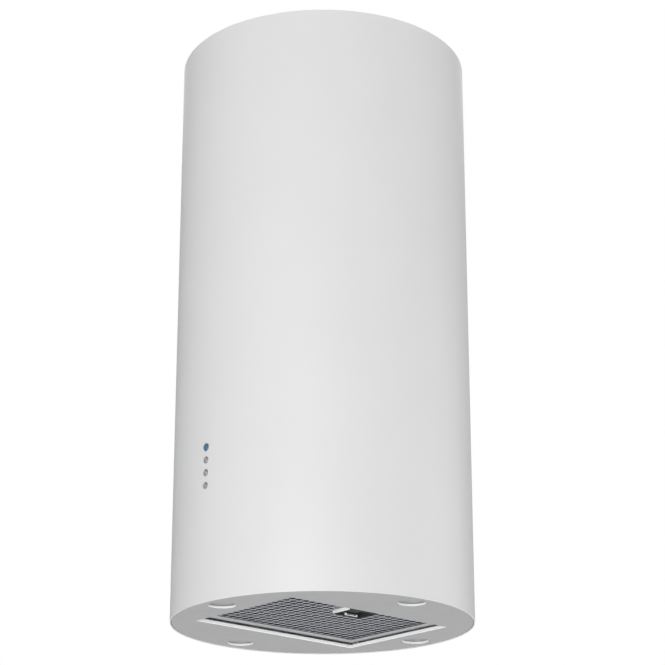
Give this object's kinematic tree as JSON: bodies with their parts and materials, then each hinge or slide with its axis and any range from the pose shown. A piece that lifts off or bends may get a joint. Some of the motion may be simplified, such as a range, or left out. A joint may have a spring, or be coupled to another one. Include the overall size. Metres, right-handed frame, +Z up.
{
  "type": "island range hood",
  "caption": "White cylindrical island range hood with a flat grey underside, lamps, tilting grease filter with a latch, push buttons and a blower with a ducted outlet.",
  "frame": {"origin": "centre of the ceiling plate's top face, on the hood's axis, where the hood meets the ceiling", "axes": "+Z up along the hood's axis, towards the ceiling; -Y is the front, with the buttons; +X is the side of the filter's finger latch"},
  "size_m": [0.39, 0.3914, 0.78],
  "materials": {
    "white_paint": "white powder coat, satin, very fine texture",
    "panel_paint": "white powder coat, satin, in the shade of the hood",
    "filter_aluminium": "natural aluminium, satin",
    "filter_mesh": "expanded aluminium mesh in layers",
    "heat_sink": "machined",
    "lamp_lens": "frosted diffuser",
    "button_steel": "satin metal",
    "button_blue": "translucent, lit blue",
    "galvanised": "galvanised sheet",
    "plain_steel": "zinc plated",
    "black_plastic": "moulded, fine texture",
    "grey_plastic": "moulded, fine texture",
    "circuit_board": "solder mask"
  },
  "bodies": {
    "root": {"outer_tube": "white_paint", "lamp_trim_front": "white_paint", "lamp_trim_right": "white_paint", "lamp_trim_rear": "white_paint", "lamp_trim_left": "white_paint", "bottom_panel": "panel_paint", "lamp_body_front": "heat_sink", "lamp_body_right": "heat_sink", "lamp_body_rear": "heat_sink", "lamp_body_left": "heat_sink", "lamp_lens_front": "lamp_lens", "lamp_lens_right": "lamp_lens", "lamp_lens_rear": "lamp_lens", "lamp_lens_left": "lamp_lens", "power_button_bezel": "button_steel", "light_button_bezel": "button_steel", "speed_up_button_bezel": "button_steel", "speed_down_button_bezel": "button_steel", "blower_casing": "galvanised", "motor_bracket": "galvanised", "ceiling_plate": "galvanised", "tube_bracket_right": "galvanised", "tube_bracket_left": "galvanised", "leg_front_right": "galvanised", "leg_rear_right": "galvanised", "leg_rear_left": "galvanised", "leg_front_left": "galvanised", "motor": "plain_steel", "flap_pin": "plain_steel", "panel_nut_1": "plain_steel", "panel_nut_2": "plain_steel", "panel_nut_3": "plain_steel", "panel_nut_4": "plain_steel", "switch_housing": "black_plastic", "volute_front": "black_plastic", "volute_rear": "black_plastic", "inlet_ring_front": "black_plastic", "inlet_ring_rear": "black_plastic", "cable_gland": "black_plastic", "outlet_collar": "grey_plastic", "electronics_box": "grey_plastic", "control_board": "circuit_board"},
    "filter": {"filter_frame": "filter_aluminium", "filter_front_mesh": "filter_mesh", "filter_core_mesh": "filter_mesh", "filter_back_mesh": "filter_mesh", "filter_handle_cup": "black_plastic", "latch_spring": "plain_steel"},
    "latch": {"filter_latch": "filter_aluminium"},
    "power_key": {"power_button": "button_blue"},
    "light_key": {"light_button": "button_steel"},
    "speed_up_key": {"speed_up_button": "button_steel"},
    "speed_down_key": {"speed_down_button": "button_steel"},
    "rotor": {"impeller": "black_plastic", "motor_shaft": "plain_steel"},
    "flap_front": {"front_flap": "grey_plastic"},
    "flap_rear": {"rear_flap": "grey_plastic"}
  },
  "joints": [
    {"name": "filter_tilt", "type": "hinge", "parent": "root", "child": "filter", "pos_m": [-0.0845, 0, -0.7715], "axis": [0, 1, 0], "range_deg": [0, 85]},
    {"name": "latch_slide", "type": "slide", "parent": "filter", "child": "latch", "axis": [-1, 0, 0], "range_m": [0, 0.004], "stiffness_N_per_m": 400, "deforming": ["latch_spring"]},
    {"name": "power_press", "type": "slide", "parent": "root", "child": "power_key", "axis": [0, 1, 0], "range_m": [0, 0.0015], "stiffness_N_per_m": 1500},
    {"name": "light_press", "type": "slide", "parent": "root", "child": "light_key", "axis": [0, 1, 0], "range_m": [0, 0.0015], "stiffness_N_per_m": 1500},
    {"name": "speed_up_press", "type": "slide", "parent": "root", "child": "speed_up_key", "axis": [0, 1, 0], "range_m": [0, 0.0015], "stiffness_N_per_m": 1500},
    {"name": "speed_down_press", "type": "slide", "parent": "root", "child": "speed_down_key", "axis": [0, 1, 0], "range_m": [0, 0.0015], "stiffness_N_per_m": 1500},
    {"name": "impeller_spin", "type": "hinge", "parent": "root", "child": "rotor", "pos_m": [-0.0096, 0, -0.595], "axis": [0, 1, 0], "continuous": true},
    {"name": "front_flap_swing", "type": "hinge", "parent": "root", "child": "flap_front", "pos_m": [0, 0, -0.4164], "axis": [-1, 0, 0], "range_deg": [0, 80]},
    {"name": "rear_flap_swing", "type": "hinge", "parent": "root", "child": "flap_rear", "pos_m": [0, 0, -0.4164], "axis": [1, 0, 0], "range_deg": [0, 80]}
  ]
}
